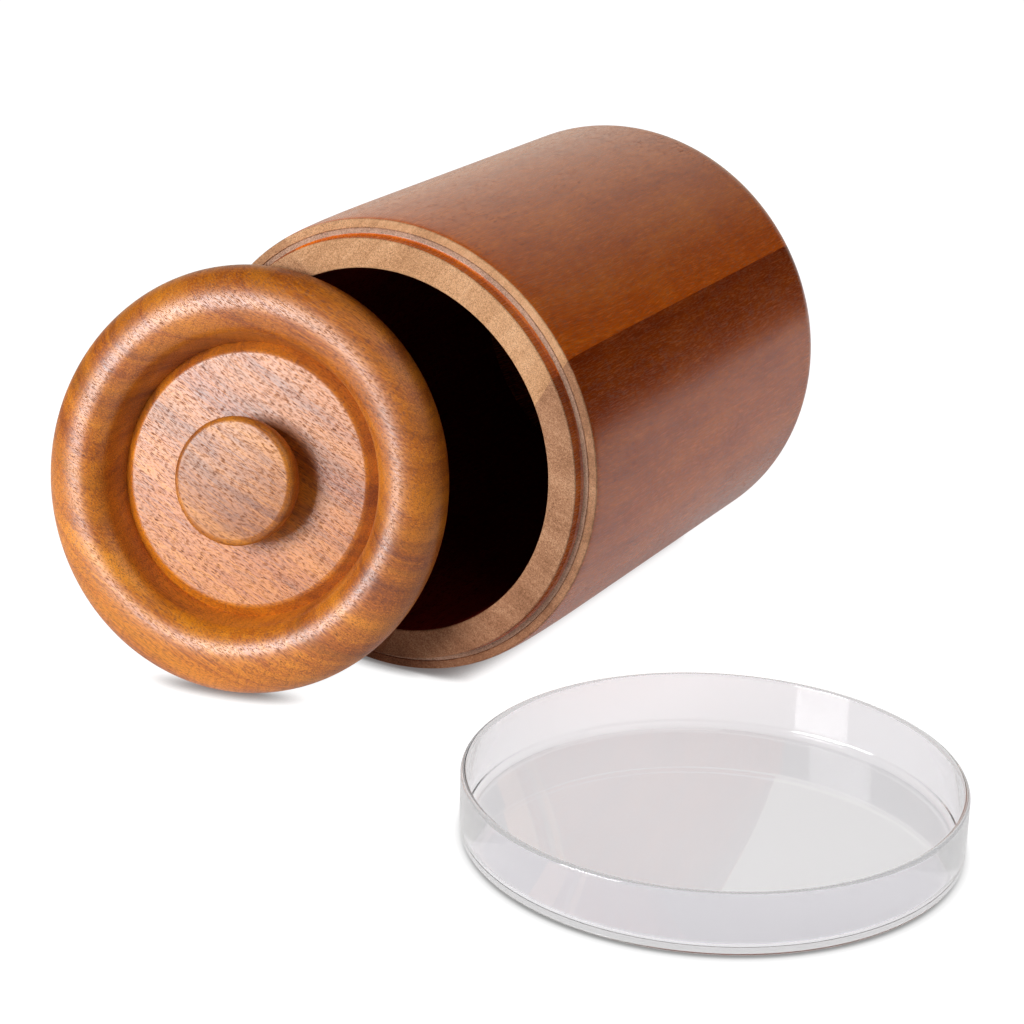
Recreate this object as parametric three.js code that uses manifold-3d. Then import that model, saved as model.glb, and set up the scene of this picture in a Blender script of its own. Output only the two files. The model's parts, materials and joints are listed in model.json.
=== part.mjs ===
// Turned wooden canister lying on its side, its lid leaning on the mouth, and a shallow glass dish.
// Millimetres, +Z up. +Y runs along the canister from its mouth to its base, +X to the right of the mouth.
import * as THREE from 'three';
import { mergeVertices } from 'three/addons/utils/BufferGeometryUtils.js';
import Module from 'manifold-3d';

const wasm = await Module();
wasm.setup();

const deg = THREE.MathUtils.degToRad;

// Clearance that every glued or touching pair keeps, and how far a cutter runs past its work
const gap = 0.3;
const overrun = 6;

// Canister body, turned from a blank of four boards
const body = {
  radius: 78,
  length: 186.3,
  wall: 16.3,
  mouthArris: 0.9,
  boreArris: 0.5,
  baseRoundDepth: 21.6,
  baseRoundWidth: 32,
};

// Raised ring round the mouth that the lid sits on, set in from the outside, and the cove at its foot
const spigot = { inset: 6.5, height: 4.6, arris: 0.5 };
const cove = { width: 2.6, depth: 1.2 };

// Boards of the blank, glued round a square core: the core's half width, and where the joint above
// the right board meets the outside
const boards = { coreHalfWidth: 35.8, seamAngle: deg(32.8) };

// Bottom board let into a rebate at the base end
const bottom = { thickness: 12, rebateWidth: 4.6 };

// Lid, set in from the raised ring and counted inwards from its rim, its heights from the plane where
// it is widest
const lid = {
  inset: 1.1,
  undersideDrop: 4.5,
  lowerRoundWidth: 4.6,
  crestHeight: 9.8,
  rimOuterWidth: 13.1,
  rimInnerWidth: 12,
  flankWidth: 9.6,
  flankDepth: 7.7,
  flankTurn: deg(76),
  grooveDrop: 4.6,
  bevelWidth: 2.5,
  bevelTurn: deg(44),
  discDrop: 1.4,
  discRound: 2.5,
  plugClearance: 0.9,
  plugDepth: 3.2,
  plugChamfer: 1.2,
};

// How the lid stands: leaned back, turned towards the dish, and left of the canister's axis
const lidPose = { tilt: deg(15.06), turn: deg(10.1), left: 38 };

// Knob in the middle of the lid, held by a round tenon
const knob = {
  radius: 21.2,
  height: 12.5,
  edgeRound: 2.4,
  neckRadius: 18.6,
  neckHeight: 3.2,
  tenonRadius: 7.5,
  tenonLength: 4.6,
};

// Glass dish lying on its base
const dish = {
  radius: 75,
  height: 20,
  wall: 2.1,
  floor: 2.3,
  outerRound: 3,
  innerRound: 2.6,
  right: 146.7,
  front: 54.8,
};

// Radii and places that follow from the sizes above
const boreRadius = body.radius - body.wall;
const spigotRadius = body.radius - spigot.inset;
const footRadius = body.radius - body.baseRoundWidth;
const rebateRadius = boreRadius + bottom.rebateWidth;
const rebateSeat = body.length - bottom.thickness;
const baseRoundStart = body.length - body.baseRoundDepth;
const lidRadius = spigotRadius - lid.inset;
const crestRadius = lidRadius - lid.rimOuterWidth;
const grooveRadius = crestRadius - lid.rimInnerWidth;
const discRadius = grooveRadius - lid.bevelWidth;

// Facets of round forms
const bodySegments = 80;
const lidSegments = 72;
const knobSegments = 48;
const dishSegments = 72;
const leanSamples = 720;

// Points on an elliptical arc in a (radius, height) outline, angles from the radius axis
function arc(centreR, centreY, semiR, semiY, from, to, steps) {
  const points = [];
  for (let i = 0; i <= steps; i += 1) {
    const angle = from + ((to - from) * i) / steps;
    points.push([centreR + semiR * Math.cos(angle), centreY + semiY * Math.sin(angle)]);
  }
  return points;
}

// Solid of revolution about Y from an outline that runs outwards, up and back in
function turned(outline, segments) {
  const points = outline.map(([r, y]) => new THREE.Vector2(r, y));
  return new THREE.LatheGeometry(points, segments);
}

function toSolid(geometry) {
  const bare = geometry.clone();
  bare.deleteAttribute('normal');
  bare.deleteAttribute('uv');
  const merged = mergeVertices(bare);
  const mesh = new wasm.Mesh({
    numProp: 3,
    vertProperties: merged.attributes.position.array,
    triVerts: merged.index.array,
  });
  return new wasm.Manifold(mesh);
}

function toGeometry(solid) {
  const mesh = solid.getMesh();
  const geometry = new THREE.BufferGeometry();
  geometry.setAttribute('position', new THREE.BufferAttribute(mesh.vertProperties, 3));
  geometry.setIndex(new THREE.BufferAttribute(mesh.triVerts, 1));
  geometry.computeVertexNormals();
  return geometry;
}

function finish(color, roughness) {
  return new THREE.MeshStandardMaterial({ color, roughness, metalness: 0 });
}

function piece(name, geometry, material) {
  const mesh = new THREE.Mesh(geometry, material);
  mesh.name = name;
  return mesh;
}

// Angle on the base rounding's arc where the outside reaches a radius
function baseRoundAngle(radius) {
  return Math.acos((radius - footRadius) / body.baseRoundWidth);
}

// Outline of the whole turned wall, from the bore's mouth round the outside and back down the bore
function wallOutline() {
  const mouth = -spigot.height;
  const coveOuter = spigotRadius + cove.width;
  const coveHalf = cove.width / 2;
  const quarter = Math.PI / 2;
  const start = [
    [boreRadius, mouth + body.boreArris],
    [boreRadius + body.boreArris, mouth],
  ];
  return [
    ...start,
    ...arc(spigotRadius - spigot.arris, mouth + spigot.arris, spigot.arris, spigot.arris, -quarter, 0, 2),
    ...arc(spigotRadius + coveHalf, 0, coveHalf, cove.depth, Math.PI, 0, 6),
    [coveOuter, 0],
    ...arc(body.radius - body.mouthArris, body.mouthArris, body.mouthArris, body.mouthArris, -quarter, 0, 3),
    ...arc(
      footRadius, baseRoundStart, body.baseRoundWidth, body.baseRoundDepth,
      0, baseRoundAngle(rebateRadius), 5,
    ),
    [rebateRadius, rebateSeat],
    [boreRadius, rebateSeat],
    start[0],
  ];
}

// The right board runs the full height of the blank. The others butt against it and each other:
// the upper board caps the left one, and the lower one fits between left and right.
function boardRegions() {
  const far = body.radius + overrun;
  const edge = boards.coreHalfWidth;
  return {
    right: { across: [edge, far], along: [-far, far] },
    upper: { across: [-far, edge], along: [edge, far] },
    left: { across: [-far, -edge], along: [-far, edge] },
    lower: { across: [-edge, edge], along: [-far, -edge] },
  };
}

// The right board's face normal points here, seen from the mouth, upwards from +X
const boardTurn = boards.seamAngle - Math.acos(boards.coreHalfWidth / body.radius);

// A board's share of the turned wall, half a clearance short of each joint
function wallBoard(wall, { across, along }) {
  const length = spigot.height + body.length + 2 * overrun;
  const region = new THREE.BoxGeometry(across[1] - across[0] - gap, length, along[1] - along[0] - gap);
  const middleLength = (body.length - spigot.height) / 2;
  region.translate((across[0] + across[1]) / 2, middleLength, (along[0] + along[1]) / 2);
  region.rotateY(-boardTurn);
  const geometry = toGeometry(wall.intersect(toSolid(region)));
  geometry.translate(0, 0, body.radius);
  return geometry;
}

// Round board that closes the base end and carries the flat foot
function bottomBoard() {
  const edge = rebateRadius - gap;
  const outline = [
    [0, rebateSeat + gap],
    [edge, rebateSeat + gap],
    ...arc(
      footRadius, baseRoundStart, body.baseRoundWidth, body.baseRoundDepth,
      baseRoundAngle(edge), Math.PI / 2, 6,
    ),
    [0, body.length],
  ];
  const geometry = turned(outline, bodySegments);
  geometry.translate(0, 0, body.radius);
  return geometry;
}

const discHeight = -lid.discDrop;
const tenonHoleRadius = knob.tenonRadius + gap;
const tenonHoleFloor = discHeight - knob.tenonLength - gap;

// Fat rim, groove and raised disc on the front, a shallow plug for the bore on the back
function lidOutline() {
  const underside = -lid.undersideDrop;
  const plugRadius = boreRadius - lid.plugClearance;
  const plugFace = underside - lid.plugDepth;
  const quarter = Math.PI / 2;
  return [
    [0, plugFace],
    [plugRadius - lid.plugChamfer, plugFace],
    [plugRadius, plugFace + lid.plugChamfer],
    [plugRadius, underside],
    ...arc(
      lidRadius - lid.lowerRoundWidth, 0, lid.lowerRoundWidth, lid.undersideDrop,
      -quarter, 0, 5,
    ),
    ...arc(
      crestRadius, 0, lidRadius - crestRadius, lid.crestHeight,
      quarter / 6, (quarter * 5) / 6, 4,
    ),
    ...arc(
      crestRadius, lid.crestHeight - lid.flankDepth, lid.flankWidth, lid.flankDepth,
      quarter, quarter + lid.flankTurn, 7,
    ),
    [grooveRadius, -lid.grooveDrop],
    ...arc(
      discRadius - lid.discRound * Math.sin(lid.bevelTurn), discHeight - lid.discRound,
      lid.discRound, lid.discRound, quarter - lid.bevelTurn, quarter, 3,
    ),
    [tenonHoleRadius, discHeight],
    [tenonHoleRadius, tenonHoleFloor],
    [0, tenonHoleFloor],
  ];
}

// Low round knob with a rounded top edge and a drawn-in neck over its tenon
function knobOutline() {
  const seat = discHeight + gap;
  const top = discHeight + knob.height;
  const waist = seat + knob.neckHeight;
  const quarter = Math.PI / 2;
  return [
    [0, tenonHoleFloor + gap],
    [knob.tenonRadius, tenonHoleFloor + gap],
    [knob.tenonRadius, seat],
    [knob.neckRadius, seat],
    ...arc(
      knob.neckRadius, top - knob.edgeRound, knob.radius - knob.neckRadius,
      top - knob.edgeRound - waist, -quarter, 0, 4,
    ),
    ...arc(
      knob.radius - knob.edgeRound, top - knob.edgeRound, knob.edgeRound, knob.edgeRound,
      quarter / 4, quarter, 3,
    ),
    [0, top],
  ];
}

// Straight-walled dish with a round rim and small radii inside and outside its base
function dishOutline() {
  const inner = dish.radius - dish.wall;
  const rim = dish.wall / 2;
  const quarter = Math.PI / 2;
  return [
    [0, 0],
    ...arc(
      dish.radius - dish.outerRound, dish.outerRound, dish.outerRound, dish.outerRound,
      -quarter, 0, 4,
    ),
    ...arc(dish.radius - rim, dish.height - rim, rim, rim, 0, Math.PI, 4),
    ...arc(
      inner - dish.innerRound, dish.floor + dish.innerRound, dish.innerRound, dish.innerRound,
      0, -quarter, 4,
    ),
    [0, dish.floor],
  ];
}

// Height of the lid's centre when its rim stands on the ground
function standingHeight(outline) {
  const heights = outline.map(([r, h]) => r * Math.cos(lidPose.tilt) - h * Math.sin(lidPose.tilt));
  return Math.max(...heights);
}

// Points all over a turned outline that is placed with its axis along a direction
function surfacePoints(outline, axis, centre) {
  const across = new THREE.Vector3(0, 0, 1).cross(axis).normalize();
  const up = new THREE.Vector3().crossVectors(axis, across);
  const points = [];
  for (let i = 0; i + 1 < outline.length; i += 1) {
    for (const share of [0, 1 / 3, 2 / 3]) {
      const r = THREE.MathUtils.lerp(outline[i][0], outline[i + 1][0], share);
      const h = THREE.MathUtils.lerp(outline[i][1], outline[i + 1][1], share);
      for (let k = 0; k < leanSamples; k += 1) {
        const angle = (2 * Math.PI * k) / leanSamples;
        const point = centre.clone().addScaledVector(axis, h);
        point.addScaledVector(across, r * Math.cos(angle));
        points.push(point.addScaledVector(up, r * Math.sin(angle)));
      }
    }
  }
  return points;
}

// How far along +Y the standing lid goes before its back rests on the mouth
function leaningPlace(outline, axis, height) {
  const centre = new THREE.Vector3(-lidPose.left, 0, height);
  let place = Infinity;
  for (const point of surfacePoints(outline, axis, centre)) {
    const radial = Math.hypot(point.x, point.z - body.radius);
    if (radial > boreRadius - gap && radial < body.radius + gap) {
      const face = radial < spigotRadius + gap ? -spigot.height : 0;
      place = Math.min(place, face - gap - point.y);
    }
  }
  return place;
}

// Lid and knob share one turned group: the lid's axis starts along +Y and ends facing the front
function lidGroup() {
  const outline = lidOutline();
  const facing = new THREE.Vector3(
    Math.cos(lidPose.tilt) * Math.sin(lidPose.turn),
    -Math.cos(lidPose.tilt) * Math.cos(lidPose.turn),
    Math.sin(lidPose.tilt),
  );
  const height = standingHeight(outline);
  const tilted = new THREE.Group();
  tilted.rotation.x = Math.PI - lidPose.tilt;
  tilted.add(piece('lid', turned(outline, lidSegments), finish(0xb4672b, 0.38)));
  tilted.add(piece('lid_knob', turned(knobOutline(), knobSegments), finish(0xb87b4e, 0.38)));
  const placed = new THREE.Group();
  placed.rotation.z = lidPose.turn;
  placed.position.set(-lidPose.left, leaningPlace(outline, facing, height), height);
  placed.add(tilted);
  return placed;
}

function canisterGroup() {
  const group = new THREE.Group();
  const wall = toSolid(turned(wallOutline(), bodySegments));
  const regions = boardRegions();
  const colors = { right: 0x7a4126, upper: 0xa5652f, left: 0x8c5530, lower: 0x91592f };
  for (const [side, color] of Object.entries(colors)) {
    group.add(piece(`wall_board_${side}`, wallBoard(wall, regions[side]), finish(color, 0.42)));
  }
  group.add(piece('bottom_board', bottomBoard(), finish(0x915c36, 0.42)));
  return group;
}

function dishGroup() {
  const group = new THREE.Group();
  const glass = new THREE.MeshStandardMaterial({
    color: 0xe4e6ea, roughness: 0.04, metalness: 0, transparent: true, opacity: 0.35,
  });
  group.add(piece('glass_dish', turned(dishOutline(), dishSegments), glass));
  group.rotation.x = Math.PI / 2;
  group.position.set(dish.right, -dish.front, 0);
  return group;
}

// The origin is on the ground under the middle of everything
const part = new THREE.Group();
part.add(canisterGroup(), lidGroup(), dishGroup());
part.updateMatrixWorld(true);
const middle = new THREE.Box3().setFromObject(part, true).getCenter(new THREE.Vector3());
part.position.set(-middle.x, -middle.y, 0);
part.updateMatrixWorld(true);

export default part;
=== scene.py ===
"""Turned wooden canister lying on its side, its lid leaning on the mouth, and a shallow glass dish."""
import json
import math

import bmesh
import bpy
from mathutils import Matrix, Vector


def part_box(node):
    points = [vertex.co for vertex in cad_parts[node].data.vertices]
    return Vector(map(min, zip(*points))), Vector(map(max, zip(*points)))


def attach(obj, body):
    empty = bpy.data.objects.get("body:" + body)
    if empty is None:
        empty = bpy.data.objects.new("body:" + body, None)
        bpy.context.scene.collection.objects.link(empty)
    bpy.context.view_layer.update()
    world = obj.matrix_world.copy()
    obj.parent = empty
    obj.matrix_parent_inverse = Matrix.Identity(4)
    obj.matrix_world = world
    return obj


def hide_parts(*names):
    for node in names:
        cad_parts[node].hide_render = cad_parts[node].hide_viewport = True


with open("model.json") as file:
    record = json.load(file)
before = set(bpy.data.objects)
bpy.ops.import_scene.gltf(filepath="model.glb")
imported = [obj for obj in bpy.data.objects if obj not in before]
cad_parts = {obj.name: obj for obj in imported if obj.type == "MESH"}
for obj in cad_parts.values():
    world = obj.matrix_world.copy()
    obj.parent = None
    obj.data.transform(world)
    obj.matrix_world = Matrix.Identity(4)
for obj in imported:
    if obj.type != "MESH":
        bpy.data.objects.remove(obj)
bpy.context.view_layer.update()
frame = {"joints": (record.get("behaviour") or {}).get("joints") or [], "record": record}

# Wall of the canister: four boards of reddish hardwood, glued round a square core with their grain along
# the canister and then turned. The outside is varnished and the mouth's end grain is bare. The cove at the
# foot of the mouth ring is end grain closed with varnish and painted pale with the sheen it catches, and
# the bore's wood is painted nearly black as painted shade for the dark deep inside the canister.
mm = 0.001
wall_low, wall_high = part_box("wall_board_right")
foot_low, foot_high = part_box("bottom_board")
mouth_y = wall_low.y
foot_y = foot_high.y
barrel_x = (foot_low.x + foot_high.x) / 2
barrel_z = (foot_low.z + foot_high.z) / 2
barrel_centre = Vector((barrel_x, 0, barrel_z))
barrel_axis = (0, 1, 0)

body_radius = barrel_z
bore_radius = body_radius - 16.3 * mm
spigot_radius = body_radius - 6.5 * mm
spigot_height = 4.6 * mm
edge_round = 0.5 * mm
cove_width = 2.6 * mm
cove_rise = 1.1 * mm
nick = 0.4 * mm
draw_in = 1.2 * mm
draw_in_length = 42 * mm
base_round_depth = 21.6 * mm
base_round_width = 32 * mm
base_joint_radius = bore_radius + 4.45 * mm
rebate_depth = 7 * mm
core_half_width = 35.8 * mm
joint_angle = math.radians(32.8)
hair = 0.01 * mm

# Finishes of the wall's strips. The bore's finish is painted shade: its wood is painted nearly black for the
# dark deep inside the canister.
VARNISHED, BARE, PAINTED_SHADE, SEALED_PAINTED_SHEEN = range(4)


def arc(centre_r, centre_h, semi_r, semi_h, start, end, steps, finish=VARNISHED):
    """Points (radius, height, finish of the strip that starts here) on an elliptical arc."""
    points = []
    for i in range(steps + 1):
        angle = math.radians(start + (end - start) * i / steps)
        points.append((centre_r + semi_r * math.cos(angle), centre_h + semi_h * math.sin(angle), finish))
    return points


def turn(outline, origin, axis, segments, closed=False):
    """Mesh of revolution: the outline's heights run along the axis from the origin."""
    axis = Vector(axis).normalized()
    side = Vector((1, 0, 0)) if abs(axis.x) < 0.9 else Vector((0, 1, 0))
    side = (side - axis * side.dot(axis)).normalized()
    other = axis.cross(side)
    made = bmesh.new()
    rings = []
    for radius, height, _finish in outline:
        centre = Vector(origin) + axis * height
        if radius == 0:
            rings.append([made.verts.new(centre)] * segments)
            continue
        ring = []
        for k in range(segments):
            angle = 2 * math.pi * k / segments
            outward = side * math.cos(angle) + other * math.sin(angle)
            ring.append(made.verts.new(centre + outward * radius))
        rings.append(ring)
    strips = len(outline) if closed else len(outline) - 1
    for i in range(strips):
        lower = rings[i]
        upper = rings[(i + 1) % len(rings)]
        for k in range(segments):
            after = (k + 1) % segments
            corners = [lower[k], lower[after], upper[after], upper[k]]
            face = made.faces.new(dict.fromkeys(corners))
            face.material_index = outline[i][2]
    bmesh.ops.recalc_face_normals(made, faces=made.faces)
    return made


def finish_mesh(made, name, materials, crease=32):
    """Turns a bmesh into a smooth-shaded object whose edges sharper than the crease stay sharp."""
    mesh = bpy.data.meshes.new(name)
    made.to_mesh(mesh)
    made.free()
    for material in materials:
        mesh.materials.append(material)
    mesh.shade_smooth()
    mesh.set_sharp_from_angle(angle=math.radians(crease))
    piece = bpy.data.objects.new(name, mesh)
    bpy.context.scene.collection.objects.link(piece)
    return piece


class Signal:
    """A number, colour or vector on its way through one material's nodes."""

    def __init__(self, tree, socket=None):
        self.tree = tree
        self.socket = socket

    def node(self, kind, settings=None, sockets=None, out=0):
        """Adds a node of this kind with its settings and sockets, and goes on from one of its outputs."""
        made = self.tree.nodes.new("ShaderNode" + kind)
        for setting, value in (settings or {}).items():
            if setting == "stops":
                self.set_stops(made.color_ramp, value)
            else:
                setattr(made, setting, value)
        for socket, value in (sockets or {}).items():
            if isinstance(value, Signal):
                self.tree.links.new(value.socket, made.inputs[socket])
            else:
                made.inputs[socket].default_value = value
        return Signal(self.tree, made.outputs[out])

    @staticmethod
    def set_stops(ramp, stops):
        while len(ramp.elements) < len(stops):
            ramp.elements.new(1)
        for element, (position, color) in zip(ramp.elements, stops):
            element.position = position
            element.color = (*color, 1)

    def math(self, operation, first, second):
        return self.node("Math", {"operation": operation}, {0: first, 1: second})

    def __add__(self, other):
        return self.math("ADD", self, other)

    def __sub__(self, other):
        return self.math("SUBTRACT", self, other)

    def __rsub__(self, other):
        return self.math("SUBTRACT", other, self)

    def __mul__(self, other):
        return self.math("MULTIPLY", self, other)

    def __gt__(self, other):
        return self.math("GREATER_THAN", self, other)

    __radd__ = __add__
    __rmul__ = __mul__

    def at_least(self, lowest):
        return self.math("MAXIMUM", self, lowest)

    def at_most(self, highest):
        return self.math("MINIMUM", self, highest)

    def scaled(self, *factors):
        return self.node("VectorMath", {"operation": "MULTIPLY"}, {0: self, 1: factors})

    def stretched(self, *sizes):
        """The same place, counted in steps of these sizes along the three axes."""
        return self.scaled(*(1 / size for size in sizes))

    def shifted(self, other):
        return self.node("VectorMath", {"operation": "ADD"}, {0: self, 1: other})

    def along(self, toward):
        """How far a place or direction reaches this way."""
        return self.node("VectorMath", {"operation": "DOT_PRODUCT"}, {0: self, 1: toward}, "Value")

    def noise(self, detail, roughness, out="Fac"):
        sockets = {"Vector": self, "Scale": 1.0, "Detail": detail, "Roughness": roughness}
        return self.node("TexNoise", None, sockets, out)

    def cells(self, out="Distance"):
        return self.node("TexVoronoi", None, {"Vector": self, "Scale": 1.0, "Randomness": 0.85}, out)

    def ease(self, low, high, start=0.0, end=1.0):
        """Runs from start to end as the signal goes from low to high."""
        sockets = {"Value": self, "From Min": low, "From Max": high, "To Min": start, "To Max": end}
        return self.node("MapRange", {"interpolation_type": "SMOOTHSTEP"}, sockets)

    def blend(self, under, over, mode="MIX"):
        """Colour that goes from under to over as this signal goes from 0 to 1."""
        sockets = {"Factor": self}
        for socket, color in ((6, under), (7, over)):
            sockets[socket] = color if isinstance(color, Signal) else (*color, 1)
        return self.node("Mix", {"data_type": "RGBA", "blend_type": mode}, sockets, 2)


def new_material(name):
    """An empty material, the start of its signals and its surface output."""
    material = bpy.data.materials.new(name)
    material.use_nodes = True
    tree = material.node_tree
    tree.nodes.clear()
    output = tree.nodes.new("ShaderNodeOutputMaterial")
    return material, Signal(tree), output.inputs["Surface"]


def board_place(start, fibre, growth, seed):
    """Place in a board in millimetres: along the fibre, across the growth layers, and the third way."""
    fibre = Vector(fibre).normalized()
    growth = Vector(growth)
    growth = (growth - fibre * growth.dot(fibre)).normalized()
    sockets = {
        "Vector": start.node("TexCoord", out="Object"),
        "Rotation": Matrix((fibre, growth, fibre.cross(growth))).to_euler(),
        "Scale": (1 / mm, 1 / mm, 1 / mm),
        "Location": (seed * 37.0, seed * 23.0, seed * 11.0),
    }
    place = start.node("Mapping", None, sockets)
    sway = place.stretched(90, 45, 45).noise(1.0, 0.5, "Color").scaled(0, 9, 5)
    return place.shifted(sway)


def wood(name, fibre, growth, dark, middle, light, pore, seed, streaks=1.0, pores=1.0, rough=0.24,
         gloss=0.8, speckle=0.0, coarse=1.0, glow=None, drift=None):
    """Hardwood with growth bands, fine fibres and short dark pores that run along the fibre.

    Glow is a golden colour that comes up in some bands. Drift changes the tone from one side of the
    piece to the other: the way, where it starts and ends on that way, and the tint at its end. Each
    pattern's sizes are in millimetres along the fibre, across the growth layers, and the third way.
    """
    material, start, surface = new_material(name)
    place = board_place(start, fibre, growth, seed)
    bands = place.stretched(300, 11, 60).noise(2.0, 0.55)
    lines = place.stretched(120, 1.9, 16).noise(3.0, 0.6)
    fibres = place.stretched(6, 0.42, 0.42).noise(2.0, 0.65)
    mottle = place.stretched(26, 14, 9).noise(2.0, 0.5)
    patterns = [(bands, 0.8 * streaks), (lines, 0.7 * streaks), (fibres, 1.1), (mottle, 0.4)]
    if speckle:
        patterns.append((place.stretched(9, 0.65, 0.65).noise(2.0, 0.7), speckle))
    total = sum(weight for _pattern, weight in patterns)
    tone = sum(pattern * weight for pattern, weight in patterns)
    tone = tone.ease(0.34 * total, 0.66 * total)
    color = tone.node("ValToRGB", {"stops": ((0.0, dark), (0.5, middle), (1.0, light))}, {0: tone})
    if glow:
        golden = place.shifted((90, 50, 10)).stretched(260, 6, 40).noise(3.0, 0.55)
        color = golden.ease(0.36, 0.76, 0.0, 0.55).blend(color, glow)
    if drift:
        toward, drift_start, drift_end, tint = drift
        spot = start.node("TexCoord", out="Object")
        color = spot.along(toward).ease(drift_start, drift_end).blend(color, tint, "MULTIPLY")

    # Two sets of pores, one pore to a cell. A set has its cell's length and width and its own offset.
    pore_sets = ((4.4, 0.34, 0.0), (3.0, 0.27, 31.7))
    smallest, largest, soft_edge = 0.22, 0.43, 0.12
    open_pore = 0.0
    for length, width, offset in pore_sets:
        cell = (length * coarse, width * coarse, width * coarse)
        grid = place.shifted((offset, offset, offset)).stretched(*cell)
        chance = grid.node("SeparateColor", None, {0: grid.cells("Color")})
        radius = chance.ease(0.0, 1.0, smallest, largest)
        open_pore = (radius - grid.cells()).ease(0.0, soft_edge) + open_pore
    color = (open_pore * (0.8 * pores)).blend(color, pore)

    fibre_relief, pore_depth = 0.15, 0.5
    relief = fibres * fibre_relief - open_pore * pore_depth
    bump = relief.node("Bump", None, {"Height": relief, "Strength": 0.4, "Distance": 0.06 * mm})
    roughness = fibres.ease(0.2, 0.8, rough - 0.04, rough + 0.08) + open_pore * (0.4 * pores)
    sockets = {"Base Color": color, "Roughness": roughness, "Normal": bump, "Specular IOR Level": gloss}
    shader = color.node("BsdfPrincipled", None, sockets)
    start.tree.links.new(shader.socket, surface)
    return material


def base_round_angle(radius):
    """Angle on the base's rounding at which it comes to this radius."""
    return math.degrees(math.acos((radius - (body_radius - base_round_width)) / base_round_width))


def wall_outline():
    """Outline of the turned wall, from the bore's edge over the mouth and the outside and back."""
    lip = mouth_y + edge_round
    ledge = mouth_y + spigot_height
    cove_outer = spigot_radius + cove_width
    cove = (cove_outer - nick, ledge - cove_rise, cove_width - nick, cove_rise)
    mouth_radius = body_radius - draw_in
    side_start = ledge + draw_in_length
    foot_radius = body_radius - base_round_width
    base_round = (foot_radius, foot_y - base_round_depth, base_round_width, base_round_depth)
    rebate = wall_high.y - rebate_depth
    return [
        *arc(bore_radius + edge_round, lip, edge_round, edge_round, 180, 270, 4, BARE),
        *arc(spigot_radius - edge_round, lip, edge_round, edge_round, -90, 0, 4, BARE)[:-1],
        (spigot_radius, lip, VARNISHED),
        *arc(*cove, 180, 130, 6)[:-1],
        # The cove's outer part takes the finish with a painted sheen.
        *arc(*cove, 130, 90, 6, SEALED_PAINTED_SHEEN),
        (cove_outer - nick / 2, ledge + nick, BARE),
        (cove_outer, ledge, BARE),
        *arc(mouth_radius - edge_round, ledge + edge_round, edge_round, edge_round, -90, 0, 4, BARE)[:-1],
        *arc(mouth_radius, side_start, draw_in, draw_in_length - edge_round, -90, 0, 12),
        *arc(*base_round, 0, base_round_angle(base_joint_radius), 20),
        (base_joint_radius, rebate, VARNISHED),
        (bore_radius, rebate, PAINTED_SHADE),
    ]


core_turn = joint_angle - math.acos(core_half_width / body_radius)
across = Vector((math.cos(core_turn), 0, math.sin(core_turn)))
upward = Vector((-math.sin(core_turn), 0, math.cos(core_turn)))
cuts = {
    "right": [(across, core_half_width)],
    "upper": [(-across, -core_half_width), (upward, core_half_width)],
    "left": [(-across, core_half_width), (-upward, -core_half_width)],
    "lower": [(across, -core_half_width), (-across, -core_half_width), (-upward, core_half_width)],
}


def cut_board(side):
    """One board's share of the turned wall, closed again along its glued faces."""
    made = turn(wall_outline(), barrel_centre, barrel_axis, 360, closed=True)
    for outward, distance in cuts[side]:
        geometry = [*made.verts, *made.edges, *made.faces]
        point = barrel_centre + outward * (distance + hair)
        bmesh.ops.bisect_plane(made, geom=geometry, plane_co=point, plane_no=outward, clear_inner=True)
        rim = [edge for edge in made.edges if edge.is_boundary]
        bmesh.ops.holes_fill(made, edges=rim, sides=0)
    return made


growth_ways = {
    "right": (0.42, 0, 0.91),
    "upper": (-0.78, 0, 0.63),
    "left": (0.5, 0, 0.85),
    "lower": (-0.3, 0, 0.95),
}
side_woods = {
    "right": {
        "dark": (0.3, 0.042, 0.002), "middle": (0.46, 0.085, 0.004), "light": (0.62, 0.15, 0.01),
        "drift": ((0.54, 0, 0.84), 0.085, 0.12, (0.43, 0.19, 0.05)),
    },
    "upper": {
        "dark": (0.48, 0.08, 0.003), "middle": (0.68, 0.13, 0.004), "light": (0.84, 0.21, 0.01),
        "drift": ((0.99, 0, -0.13), -0.03, 0.05, (1.22, 0.56, 0.12)),
    },
    "left": {"dark": (0.2, 0.035, 0.004), "middle": (0.34, 0.07, 0.007), "light": (0.5, 0.13, 0.02)},
    "lower": {"dark": (0.18, 0.03, 0.004), "middle": (0.3, 0.06, 0.006), "light": (0.44, 0.11, 0.018)},
}
# Painted shade: the mouth's end grain darkens towards the table, where the lid leaning on the mouth shades
# it.
painted_lid_shade_below = ((0, 0, -1), -0.06, -0.012, (0.78, 0.7, 0.66))
end_woods = {
    "right": {
        "dark": (0.23, 0.1, 0.045), "middle": (0.43, 0.21, 0.11), "light": (0.61, 0.35, 0.2),
        "drift": painted_lid_shade_below,
    },
    "upper": {"dark": (0.37, 0.175, 0.075), "middle": (0.61, 0.325, 0.16), "light": (0.78, 0.47, 0.27)},
    "left": {
        "dark": (0.32, 0.15, 0.07), "middle": (0.54, 0.28, 0.14), "light": (0.68, 0.4, 0.22),
        "drift": painted_lid_shade_below,
    },
    # The lower board's end grain is darker wood, and it is darker still as painted shade of the lid that
    # leans over it.
    "lower": {
        "dark": (0.2, 0.075, 0.03), "middle": (0.36, 0.15, 0.07), "light": (0.5, 0.25, 0.13),
        "drift": painted_lid_shade_below,
    },
}
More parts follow.
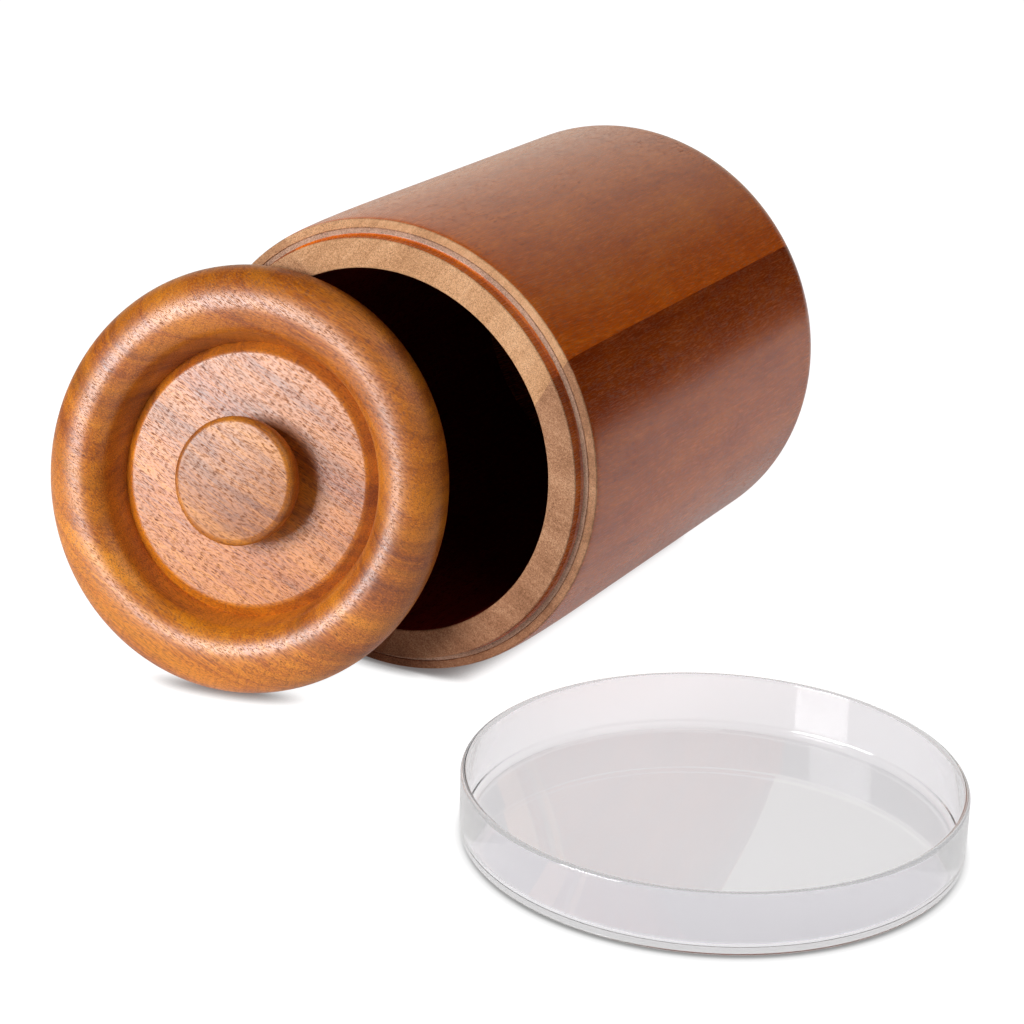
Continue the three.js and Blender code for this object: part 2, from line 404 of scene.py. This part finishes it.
for seed, (side, growth) in enumerate(growth_ways.items(), start=1):
    board = {"fibre": (0.02, 1, 0.01), "growth": growth, "seed": seed}
    varnished = wood(
        f"{side}_board_varnished", **board, **side_woods[side], pore=(0.13, 0.022, 0.003),
        streaks=0.6, pores=0.5, rough=0.22,
    )
    bare = wood(
        f"{side}_board_end_grain", **board, **end_woods[side], pore=(0.12, 0.055, 0.03),
        streaks=0.9, pores=0.7, rough=0.7, gloss=0.25, speckle=1.2, coarse=1.3,
    )
    # Painted shade: the bore's wood is painted nearly black for the shade deep inside the canister.
    painted_shade_bore = wood(
        f"{side}_board_bore_painted_shade", **board, dark=(0.09, 0.003, 0.001), middle=(0.13, 0.005, 0.002),
        light=(0.17, 0.008, 0.002), pore=(0.04, 0.001, 0.001), rough=0.6, gloss=0.1,
    )
    # Painted sheen: the cove's end grain, closed with varnish, is painted pale and pinkish for the lamp's
    # sheen it catches, and its own gloss is kept low.
    cove_painted_sheen_wood = wood(
        f"{side}_board_sealed_cove_painted_sheen", **board, dark=(0.27, 0.14, 0.09), middle=(0.5, 0.29, 0.19),
        light=(0.66, 0.43, 0.31), pore=(0.1, 0.05, 0.03), streaks=0.3, pores=0.8, rough=0.5, gloss=0.3,
        speckle=0.8,
    )
    wall_piece = finish_mesh(cut_board(side), f"turned_board_{side}", (varnished, bare, painted_shade_bore, cove_painted_sheen_wood))
    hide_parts(f"wall_board_{side}")
    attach(wall_piece, "canister")

# Bottom board: one round board of the same wood, its grain across the canister, glued into the rebate
# at the base end. Its outside continues the wall's rounding and ends in a flat foot.
board_edge = base_joint_radius - hair
bottom_round = (body_radius - base_round_width, foot_y - base_round_depth, base_round_width, base_round_depth)
bottom_outline = [
    (0, foot_low.y, VARNISHED),
    (board_edge, foot_low.y, VARNISHED),
    *arc(*bottom_round, base_round_angle(board_edge), 90, 16),
    (0, foot_y, VARNISHED),
]
bottom_wood = wood(
    "bottom_board_varnished", fibre=(0.9, 0, 0.43), growth=(0.2, 1, -0.3), seed=5,
    dark=(0.2, 0.035, 0.004), middle=(0.34, 0.07, 0.007), light=(0.5, 0.13, 0.02), pore=(0.05, 0.008, 0.002),
)
turned_bottom = turn(bottom_outline, barrel_centre, barrel_axis, 240)
bottom_piece = finish_mesh(turned_bottom, "turned_bottom_board", (bottom_wood,))
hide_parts("bottom_board")
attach(bottom_piece, "canister")

# Lid: one golden brown board turned to a fat round rim, a deep groove and a raised disc, with a shallow
# plug on its back that goes into the bore. It lies loose, leaning on the mouth.
lid_axis = Vector(next(joint["axis"] for joint in frame["joints"] if joint["child"] == "lid_assembly"))
lid_axis.normalize()
knob_top = next(mount["pos_m"] for mount in frame["record"]["mounts"] if mount["name"] == "knob_top")
disc_height = -1.4 * mm
knob_height = 12.5 * mm
lid_centre = Vector(knob_top) - lid_axis * (disc_height + knob_height)

lid_radius = spigot_radius - 1.1 * mm
crest_radius = lid_radius - 13.1 * mm
groove_radius = crest_radius - 12.0 * mm
disc_radius = groove_radius - 2.5 * mm
crest_height = 9.8 * mm
groove_height = -4.6 * mm
flank_width = 9.6 * mm
flank_depth = 7.7 * mm
underside = -4.5 * mm
back_round = 4.6 * mm
plug_radius = bore_radius - 0.9 * mm
plug_face = underside - 3.2 * mm
plug_chamfer = 1.2 * mm
shoulder_round = 2.5 * mm
shoulder_slope = 44
tenon_hole_radius = 7.8 * mm
tenon_hole_floor = disc_height - 4.9 * mm
shoulder_radius = disc_radius - shoulder_round * math.sin(math.radians(shoulder_slope))
shoulder = (shoulder_radius, disc_height - shoulder_round, shoulder_round, shoulder_round)
lid_outline = [
    (0, plug_face, VARNISHED),
    (plug_radius - plug_chamfer, plug_face, VARNISHED),
    (plug_radius, plug_face + plug_chamfer, VARNISHED),
    (plug_radius, underside, VARNISHED),
    *arc(lid_radius - back_round, 0, back_round, -underside, -90, 0, 10)[:-1],
    *arc(crest_radius, 0, lid_radius - crest_radius, crest_height, 0, 90, 18)[:-1],
    *arc(crest_radius, crest_height - flank_depth, flank_width, flank_depth, 90, 166, 20),
    (groove_radius, groove_height, VARNISHED),
    *arc(*shoulder, 90 - shoulder_slope, 90, 8),
    (tenon_hole_radius, disc_height, VARNISHED),
    (tenon_hole_radius, tenon_hole_floor, VARNISHED),
    (0, tenon_hole_floor, VARNISHED),
]

lid_right = Vector((0, 0, 1)).cross(lid_axis).normalized()
lid_up = lid_axis.cross(lid_right).normalized()
grain_fall = math.radians(27)
lid_grain = {
    "fibre": lid_right * math.cos(grain_fall) - lid_up * math.sin(grain_fall),
    "growth": lid_right * math.sin(grain_fall) + lid_up * math.cos(grain_fall) + lid_axis * 0.8,
    "seed": 6,
}
lid_varnish = {"pore": (0.12, 0.028, 0.007), "streaks": 0.9, "pores": 0.85, "rough": 0.34, "coarse": 0.75}
# The lid's tone grows lighter and more golden towards its lower left. This is partly golden bands in the wood
# and partly painted light and shade: the rim's right side, away from the key lamp, is painted darker.
golden_and_lit_side = (lid_right * -0.5 - lid_up * 0.85).normalized()
lid_middle = golden_and_lit_side.dot(lid_centre)
golden_and_painted_light_drift = (golden_and_lit_side, lid_middle - 50 * mm, lid_middle + 60 * mm, (1.24, 1.34, 1.1))
lid_wood = wood(
    "lid_varnished", **lid_grain, **lid_varnish, dark=(0.16, 0.028, 0.002), middle=(0.44, 0.102, 0.003),
    light=(0.67, 0.215, 0.01), gloss=0.9, glow=(0.75, 0.25, 0.008), drift=golden_and_painted_light_drift,
)
lid_piece = finish_mesh(turn(lid_outline, lid_centre, lid_axis, 360), "turned_lid", (lid_wood,))
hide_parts("lid")
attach(lid_piece, "lid_assembly")

# Knob: a low round button of the same wood with a rounded top edge and a drawn-in neck, held by a round
# tenon glued into the middle of the disc.
knob_radius = 21.2 * mm
neck_radius = 18.6 * mm
neck_height = 3.2 * mm
knob_round = 2.4 * mm
tenon_radius = 7.5 * mm
tenon_end = tenon_hole_floor + 0.3 * mm
knob_seat = disc_height + hair
knob_face = disc_height + knob_height
round_start = knob_face - knob_round
neck_rise = round_start - (knob_seat + neck_height)
knob_outline = [
    (0, tenon_end, VARNISHED),
    (tenon_radius, tenon_end, VARNISHED),
    (tenon_radius, knob_seat, VARNISHED),
    (neck_radius, knob_seat, VARNISHED),
    *arc(neck_radius, round_start, knob_radius - neck_radius, neck_rise, -90, 0, 8)[:-1],
    *arc(knob_radius - knob_round, round_start, knob_round, knob_round, 0, 90, 8),
    (0, knob_face, VARNISHED),
]
knob_wood = wood(
    "knob_varnished", **lid_grain, **lid_varnish, dark=(0.18, 0.035, 0.004), middle=(0.46, 0.125, 0.007),
    light=(0.71, 0.26, 0.02), gloss=0.75, glow=(0.78, 0.28, 0.015),
)
knob_piece = finish_mesh(turn(knob_outline, lid_centre, lid_axis, 240), "turned_knob", (knob_wood,))
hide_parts("lid_knob")
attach(knob_piece, "lid_assembly")

# Glass dish: clear straight-walled glass with a fire-polished round rim and small radii inside and
# outside its base. It lies loose on its base.
CLEAR = 0
dish_low, dish_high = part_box("glass_dish")
dish_centre = (dish_low + dish_high) / 2
dish_radius = (dish_high.x - dish_low.x) / 2
dish_height = dish_high.z - dish_low.z
dish_wall = 2.1 * mm
dish_floor = 2.3 * mm
outer_round = 3 * mm
inner_round = 2.6 * mm
rim_round = dish_wall / 2
inner_corner = dish_radius - dish_wall - inner_round
dish_outline = [
    (0, 0, CLEAR),
    *arc(dish_radius - outer_round, outer_round, outer_round, outer_round, -90, 0, 10, CLEAR),
    *arc(dish_radius - rim_round, dish_height - rim_round, rim_round, rim_round, 0, 180, 12, CLEAR),
    *arc(inner_corner, dish_floor + inner_round, inner_round, inner_round, 0, -90, 10, CLEAR),
    (0, dish_floor, CLEAR),
]
glass, start, surface = new_material("clear_glass")
shader = start.node("BsdfPrincipled", None, {
    "Base Color": (0.96, 0.95, 0.975, 1),
    "Roughness": 0.0,
    "IOR": 1.5,
    "Specular IOR Level": 0.4,
    "Transmission Weight": 1.0,
})
shadow_ray = start.node("LightPath", out="Is Shadow Ray")
echoes = start.node("LightPath", out="Glossy Depth")
bounces = start.node("LightPath", out="Diffuse Depth")
lets_through = shadow_ray + (echoes > 1.5) + (bounces > 0.5)
clear = start.node("BsdfTransparent", None, {"Color": (0.93, 0.93, 0.93, 1)})
mixed = start.node("MixShader", None, {0: lets_through.ease(0.2, 0.8), 1: shader, 2: clear})
start.tree.links.new(mixed.socket, surface)
turned_dish = turn(dish_outline, (dish_centre.x, dish_centre.y, dish_low.z), (0, 0, 1), 360)
dish_piece = finish_mesh(turned_dish, "blown_glass_dish", (glass,), crease=60)
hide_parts("glass_dish")
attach(dish_piece, "dish")

# Studio table: plain and white, and it runs out of the picture. The camera sees it at full white with a
# soft shade where something stands on it, and gloss and glass see it dimmer.
table_level = -0.1 * mm
table_half = 1.1
table_corners = [
    (-table_half, -table_half, table_level),
    (table_half, -table_half, table_level),
    (table_half, table_half, table_level),
    (-table_half, table_half, table_level),
]
table_mesh = bpy.data.meshes.new("table")
table_mesh.from_pydata(table_corners, [], [(0, 1, 2, 3)])
table = bpy.data.objects.new("table", table_mesh)
bpy.context.scene.collection.objects.link(table)
white, start, surface = new_material("white_table")
camera_ray = start.node("LightPath", out="Is Camera Ray")
glossy_ray = start.node("LightPath", out="Is Glossy Ray")
transmission_ray = start.node("LightPath", out="Is Transmission Ray")
shade_reach = 8 * mm
openness = start.node("AmbientOcclusion", {"samples": 16}, {"Distance": shade_reach}, "AO")
table_seen = openness.ease(0.1, 0.8, 0.15, 1.0)
table_glow = 0.12
glow_in_gloss = 0.22
glow_in_glass = 0.12
strength = table_glow + camera_ray * (table_seen - table_glow)
strength = strength + glossy_ray * glow_in_gloss + transmission_ray * glow_in_glass
glow = start.node("Emission", None, {"Color": strength.blend((0, 0, 0), (1, 1, 1)), "Strength": 1.0})
lit = start.node("BsdfDiffuse", None, {"Color": camera_ray.blend((0.8, 0.8, 0.8), (0.25, 0.25, 0.25))})
both = start.node("AddShader", None, {0: lit, 1: glow})
start.tree.links.new(both.socket, surface)
table_mesh.materials.append(white)

# Room: dim, white where the camera looks past the table, and with a pale backdrop behind the table that
# shows in gloss. Glass shows it white low down and grey higher up.
room = bpy.data.worlds.new("room")
room.use_nodes = True
background = room.node_tree.nodes["Background"]
start = Signal(room.node_tree)
direction = start.node("TexCoord", out="Generated")
camera_ray = start.node("LightPath", out="Is Camera Ray")
glossy_ray = start.node("LightPath", out="Is Glossy Ray")
transmission_ray = start.node("LightPath", out="Is Transmission Ray")
first_look = 1 - start.node("LightPath", out="Diffuse Depth").at_most(1.0)
in_front = 1 - start.node("LightPath", out="Transmission Depth").at_most(1.0)
room_glow = 0.02
behind_table = (-0.547, 0.811, 0.208)
backdrop_edge = 0.65
backdrop_rise = 2.6
backdrop = (direction.along(behind_table) - backdrop_edge).at_least(0.0) * backdrop_rise
height = direction.node("SeparateXYZ", None, {0: direction}, "Z")
low_down = height.ease(0.12, 0.4, 1.0, 0.1)
seen = camera_ray + transmission_ray * low_down + glossy_ray * in_front * (backdrop - room_glow)
strength = room_glow + seen * first_look
tint = glossy_ray.blend((1, 1, 1), (1, 0.98, 0.86))
room.node_tree.links.new(strength.socket, background.inputs["Strength"])
room.node_tree.links.new(tint.socket, background.inputs["Color"])
bpy.context.scene.world = room

# Lamps: one square softbox beside the camera, a weaker one high on the right, one from behind that gloss
# doesn't show, and a low strip for the light that the table throws back under the right side.
aim = Vector((barrel_x, 0, body_radius))


def area_lamp(name, width, height, radiance):
    data = bpy.data.lights.new(name, "AREA")
    data.shape = "RECTANGLE"
    data.size = width
    data.size_y = height
    data.energy = radiance * math.pi * width * height
    lamp = bpy.data.objects.new(name, data)
    bpy.context.scene.collection.objects.link(lamp)
    return lamp


def softbox(name, toward, distance, width, height, radiance):
    """An area lamp that stands this way from the canister and faces it."""
    lamp = area_lamp(name, width, height, radiance)
    lamp.location = aim + Vector(toward).normalized() * distance
    lamp.rotation_euler = Vector(toward).to_track_quat("Z", "Y").to_euler()
    return lamp


softbox("key_softbox", (-0.35, -0.88, 0.31), distance=1.6, width=0.75, height=0.75, radiance=14.0)
softbox("top_softbox", (0.54, -0.22, 0.79), distance=1.5, width=1.2, height=1.1, radiance=0.82)
back = softbox("back_softbox", (0.2, 0.7, 0.72), distance=1.8, width=1.0, height=1.0, radiance=2.2)
back.visible_glossy = False
bounce = area_lamp("table_bounce", width=0.1, height=0.42, radiance=1.5)
bounce.location = (0.135, 0.18, 1 * mm)
bounce.rotation_euler = (math.pi, 0, 0)
bounce.visible_camera = False
bounce.visible_glossy = False
bounce.visible_transmission = False

# Camera: a long lens a little above the table, to the right of the mouth.
lens = bpy.data.cameras.new("camera")
lens.sensor_width = 36
lens.lens = 95.96
lens.shift_x = 0.0128
lens.shift_y = -0.0049
camera = bpy.data.objects.new("camera", lens)
stand = Vector((0.38536, -0.75441, 0.36918))
forward = Vector((-0.4539, 0.8222, -0.3434)).normalized()
right = Vector((0.8712, 0.4904, 0.0228))
right = (right - forward * right.dot(forward)).normalized()
up = right.cross(forward)
facing = Matrix((right, up, -forward)).transposed().to_4x4()
camera.matrix_world = Matrix.Translation(stand) @ facing
bpy.context.scene.collection.objects.link(camera)
bpy.context.scene.camera = camera

bpy.context.scene.view_settings.view_transform = "Standard"
